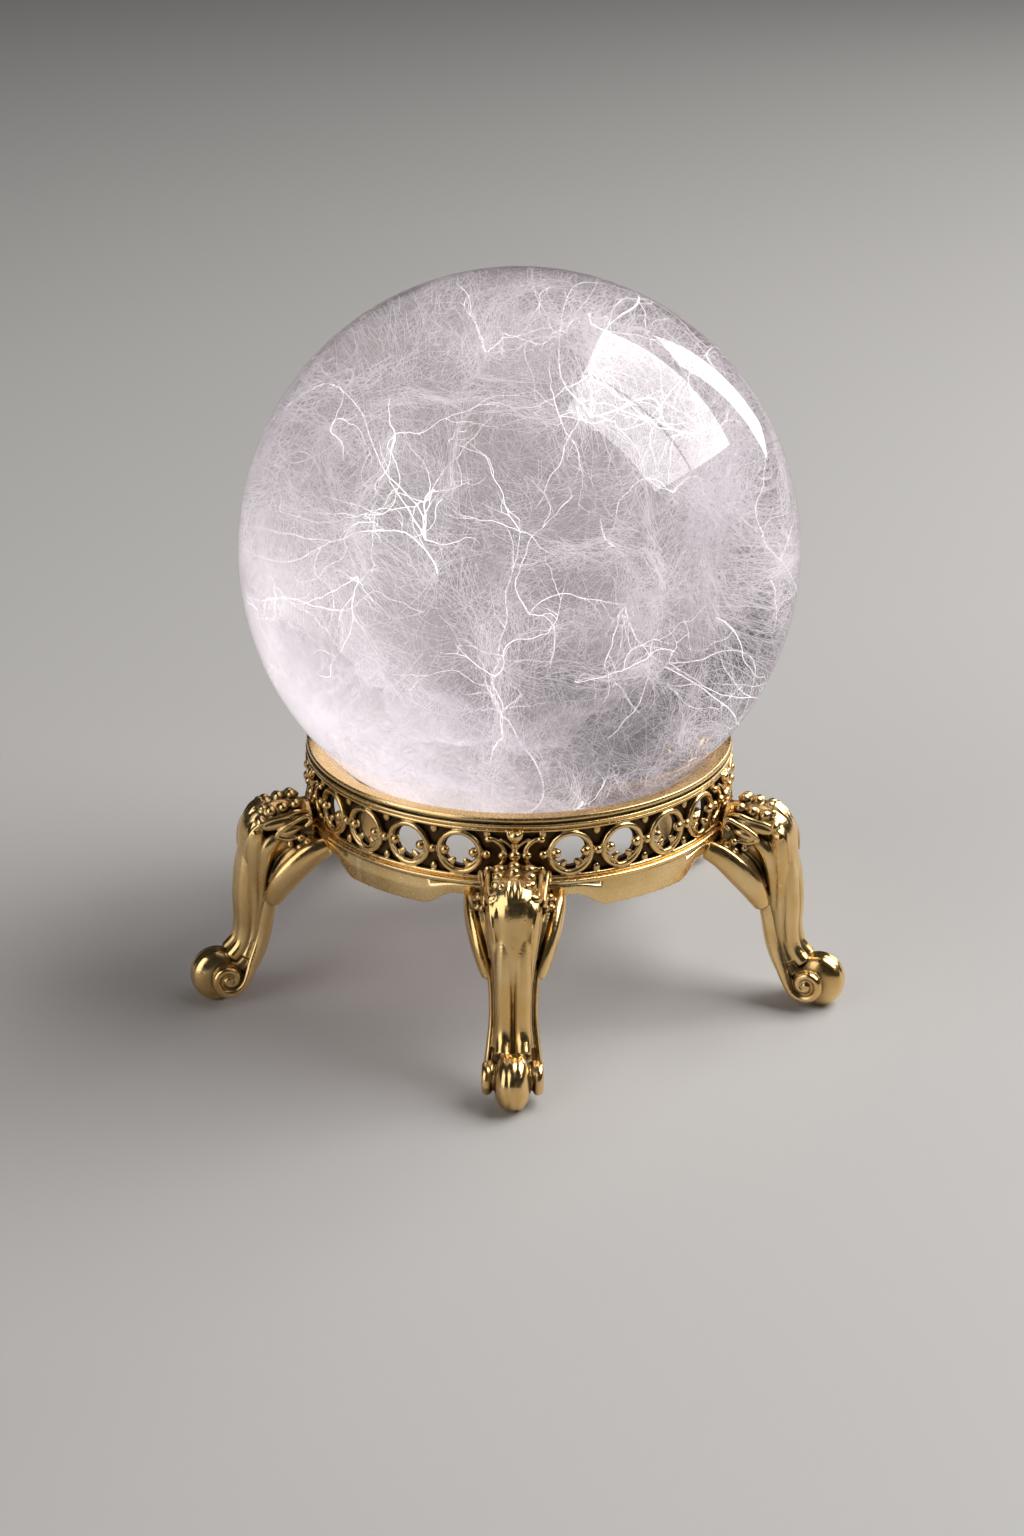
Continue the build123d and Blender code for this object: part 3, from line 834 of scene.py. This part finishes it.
def web_knots(rng, count, spacing):
    """Knots of the web, in a thick shell inside the ball's surface."""
    knots = []
    while len(knots) < count:
        knot = random_way(rng) * (BALL_RADIUS * rng.uniform(0.5, 0.95))
        if all((knot - other).length > spacing for other in knots):
            knots.append(knot)
    return knots


def web_strands(knots, links):
    """Pairs of neighbouring knots."""
    pairs = set()
    for i, knot in enumerate(knots):
        near = sorted(range(len(knots)), key=lambda j: (knots[j] - knot).length)[1 : links + 1]
        pairs.update((min(i, j), max(i, j)) for j in near)
    return sorted(pairs)


def thread(rng, start, end, bow, jitter, points):
    """A bowed line between two places, with each point moved by the drift and by its own small jitter."""
    line = []
    for i in range(points):
        t = i / (points - 1)
        place = start.lerp(end, t) + bow * math.sin(math.pi * t)
        line.append(BALL_CENTRE + drift(place) + random_way(rng) * jitter * math.sin(math.pi * t))
    return line


def thread_mesh(name, threads, material):
    """Many three-sided threads as one piece. Each is its points and its radius at the start and the end."""
    verts = []
    faces = []
    for line, thick, thin in threads:
        first = len(verts)
        last = len(line) - 1
        for i, place in enumerate(line):
            along = (line[min(i + 1, last)] - line[max(i - 1, 0)]).normalized()
            side = along.orthogonal()
            across = along.cross(side)
            size = thick + (thin - thick) * i / last
            for k in range(3):
                a = 2 * math.pi * k / 3
                verts.append(place + (side * math.cos(a) + across * math.sin(a)).normalized() * size)
        for i in range(last):
            low = first + 3 * i
            for k in range(3):
                n = (k + 1) % 3
                faces.append((low + k, low + n, low + 3 + n, low + 3 + k))
        faces.append((first + 2, first + 1, first))
        faces.append((first + 3 * last, first + 3 * last + 1, first + 3 * last + 2))
    mesh = bpy.data.meshes.new(name)
    mesh.from_pydata([v * MM for v in verts], [], faces)
    mesh.materials.append(material)
    piece = bpy.data.objects.new(name, mesh)
    bpy.context.scene.collection.objects.link(piece)
    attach(piece, "ball")


def clear_window(place):
    """How open the crystal is here: 1 in a clear window, 0 in the cloudy parts."""
    return max(0.0, min(1.0, 0.35 + 2.2 * noise.noise(place * 0.05 + Vector((5.2, 1.3, 8.8)))))


def strand_fibres(rng, knots):
    """Loose bundles of fine threads that run between neighbouring knots and fray on the way."""
    full_bundle = 52
    fibres = []
    for i, j in web_strands(knots, 4):
        a, b = knots[i], knots[j]
        bow = random_way(rng) * (a - b).length * 0.2
        density = 1.0 - 0.85 * clear_window((a + b) / 2)
        for _ in range(int(full_bundle * density)):
            share = rng.uniform(-0.15, 0.75)
            start = a.lerp(b, share) + random_way(rng) * rng.gauss(0, 2.0)
            end = a.lerp(b, share + rng.uniform(0.25, 0.6)) + random_way(rng) * rng.gauss(0, 3.2)
            stray = bow + random_way(rng) * rng.gauss(0, 2.2)
            width = rng.uniform(0.018, 0.036)
            fibres.append((thread(rng, start, end, stray, 0.15, 8), width, width * 0.4))
    return fibres


def felt_fibres(rng, count):
    """Short curved threads everywhere but in the clear windows, combed by the same drift as the web."""
    fibres = []
    while len(fibres) < count:
        start = random_way(rng) * (BALL_RADIUS * rng.uniform(0.45, 0.96))
        if rng.random() < clear_window(start):
            continue
        comb = noise.noise_vector(start * 0.07 + Vector((1.7, 6.2, 3.3))).normalized()
        way = (comb + random_way(rng) * 0.55).normalized()
        bow = random_way(rng) * rng.uniform(0.5, 2.5)
        width = rng.uniform(0.014, 0.026)
        end = start + way * rng.uniform(4, 13)
        fibres.append((thread(rng, start, end, bow, 0.1, 7), width, width * 0.4))
    return fibres


def branching_thread(rng, start, way, length, width, threads):
    """A jagged bright thread that grows step by step and throws off thinner branches."""
    step = 1.0
    line = [start]
    for _ in range(int(length / step)):
        way = (way + random_way(rng) * 0.42).normalized()
        ahead = line[-1] + way * step
        if ahead.length > BALL_RADIUS * 0.96:
            break
        line.append(ahead)
        if rng.random() < 0.16 and width > 0.03:
            branch = (way + random_way(rng) * 0.9).normalized()
            branching_thread(rng, ahead, branch, length * rng.uniform(0.2, 0.5), width * 0.6, threads)
    if len(line) > 3:
        threads.append(([BALL_CENTRE + place for place in line], width, width * 0.3))


def web():
    """The white web in the crystal: clouds of fine threads, and bright ones that branch like lightning, all
    with a painted glow.
    """
    rng = random.Random(11)
    # The offsets of noise_vector come from the clock until a seed is set.
    noise.seed_set(11)
    # Painted glow in each kind of thread, strongest in the bright threads.
    fine = fibre_material("fine_thread", (0.96, 0.94, 0.955, 1), 0.28)
    felt = fibre_material("felt_thread", (0.93, 0.905, 0.925, 1), 0.14)
    bright = fibre_material("bright_thread", (1, 0.98, 0.97, 1), 1.1)
    knots = web_knots(rng, 100, 11.0)
    thread_mesh("fine_threads", strand_fibres(rng, knots), fine)
    thread_mesh("felt_threads", felt_fibres(rng, 9000), felt)
    threads = []
    for knot in knots[::2]:
        for _ in range(rng.choice((1, 2, 3, 5))):
            start = drift(knot)
            way = random_way(rng)
            length = rng.uniform(6, 26)
            width = rng.uniform(0.045, 0.085)
            branching_thread(rng, start, way, length, width, threads)
    thread_mesh("bright_threads", threads, bright)


def crystal():
    """The ball, three milky veils inside it, and its web."""
    polished_sphere()
    veil_sheet("veil_outer", 0.88, 0.11, 0.19)
    veil_sheet("veil_middle", 0.70, 0.37, 0.30)
    veil_sheet("veil_inner", 0.45, 0.71, 0.38)
    web()


# ---- studio ----


def area_light(name, place, size, watts, aim=None, along=None):
    """A soft rectangular lamp at this place in metres, facing aim, with its first side along `along`."""
    lamp = bpy.data.lights.new(name, "AREA")
    lamp.shape = "RECTANGLE"
    lamp.size, lamp.size_y = size
    lamp.energy = watts
    holder = bpy.data.objects.new(name, lamp)
    bpy.context.scene.collection.objects.link(holder)
    back = (Vector(place) - (aim or BALL_CENTRE * MM)).normalized()
    side = Vector(along or (-back.y, back.x, 0))
    side = (side - back * side.dot(back)).normalized()
    up = back.cross(side)
    facing = Matrix((side, up, back)).transposed().to_4x4()
    holder.matrix_world = Matrix.Translation(place) @ facing
    holder.visible_camera = False
    holder.visible_transmission = False


def window_light():
    """Two panes side by side, the window that shows in the ball."""
    way = Vector((0.667, 0.118, 0.736))
    side = Vector((0.62, -0.16, -0.55))
    across = Vector((-0.07, -0.95, 0.21))
    distance = 1.0
    height = 0.82
    width = 0.95
    bar = 0.022
    watts_per_metre = 18
    centre = BALL_CENTRE * MM + way * distance
    wide = (width - bar) * 0.58
    narrow = (width - bar) - wide
    across.normalize()
    panes = (("pane_wide", wide, -(width - wide) / 2), ("pane_narrow", narrow, (width - narrow) / 2))
    for name, size, offset in panes:
        place = centre + across * offset
        area_light(name, place, (height, size), watts_per_metre * size, aim=place - way, along=side)


def studio():
    """Soft lamps round the object, and a dim sky."""
    window_light()
    area_light("left_window", (-1.0, -0.75, 0.6), (1.1, 1.3), 8)
    area_light("back_softbox", (0.75, 0.95, 0.45), (0.25, 0.7), 3)
    world = bpy.data.worlds.new("studio")
    world.use_nodes = True
    sky = world.node_tree.nodes["Background"]
    sky.inputs["Color"].default_value = (0.60, 0.58, 0.56, 1)
    sky.inputs["Strength"].default_value = 0.05
    bpy.context.scene.world = world


def floor():
    """A plain pale floor, slightly clouded."""
    shader = Shader("plain_floor")
    where = shader.add("ShaderNodeTexCoord").outputs["Object"]
    tone = shader.mix(shader.noise(where, 3, 3), (0.43, 0.415, 0.40, 1), (0.455, 0.44, 0.425, 1))
    values = {"Base Color": tone, "Roughness": 0.55}
    material = shader.finish(shader.add("ShaderNodeBsdfPrincipled", values).outputs[0])
    reach = 20.0
    corners = [(-reach, -reach, 0), (reach, -reach, 0), (reach, reach, 0), (-reach, reach, 0)]
    mesh = bpy.data.meshes.new("floor")
    mesh.from_pydata(corners, [], [(0, 1, 2, 3)])
    mesh.materials.append(material)
    plane = bpy.data.objects.new("floor", mesh)
    bpy.context.scene.collection.objects.link(plane)


def camera():
    """At the reference picture's viewing angle: 23 degrees above the table and a degree to the right."""
    elevation = math.radians(23.1)
    azimuth = math.radians(1.2)
    distance = 0.5512
    target_height = 0.0384
    target_left = 0.0013
    level = math.cos(elevation)
    right = Vector((math.cos(azimuth), math.sin(azimuth), 0))
    back = Vector((math.sin(azimuth) * level, -math.cos(azimuth) * level, math.sin(elevation)))
    place = Vector((0, 0, target_height)) - right * target_left + back * distance
    data = bpy.data.cameras.new("camera")
    data.lens = 70.3
    holder = bpy.data.objects.new("camera", data)
    bpy.context.scene.collection.objects.link(holder)
    facing = back.to_track_quat("Z", "Y").to_matrix().to_4x4()
    holder.matrix_world = Matrix.Translation(place) @ facing
    bpy.context.scene.camera = holder


def carried_over():
    """CAD nodes that keep their shape get a finished surface."""
    # The pierced band takes the nearly black brass, which paints the recess behind the gallery in shade as
    # well as patina.
    for node, material in (("pierced_band", DARK_PATINA_AND_SHADE_BRASS), ("leg_screws", ANTIQUE)):
        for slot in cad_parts[node].material_slots:
            slot.material = material


rim()
apron()
gallery()
legs()
carried_over()
crystal()
floor()
studio()
camera()
bpy.context.scene.cycles.diffuse_bounces = 2
bpy.context.scene.cycles.transparent_max_bounces = 24
bpy.context.scene.view_settings.view_transform = "Standard"
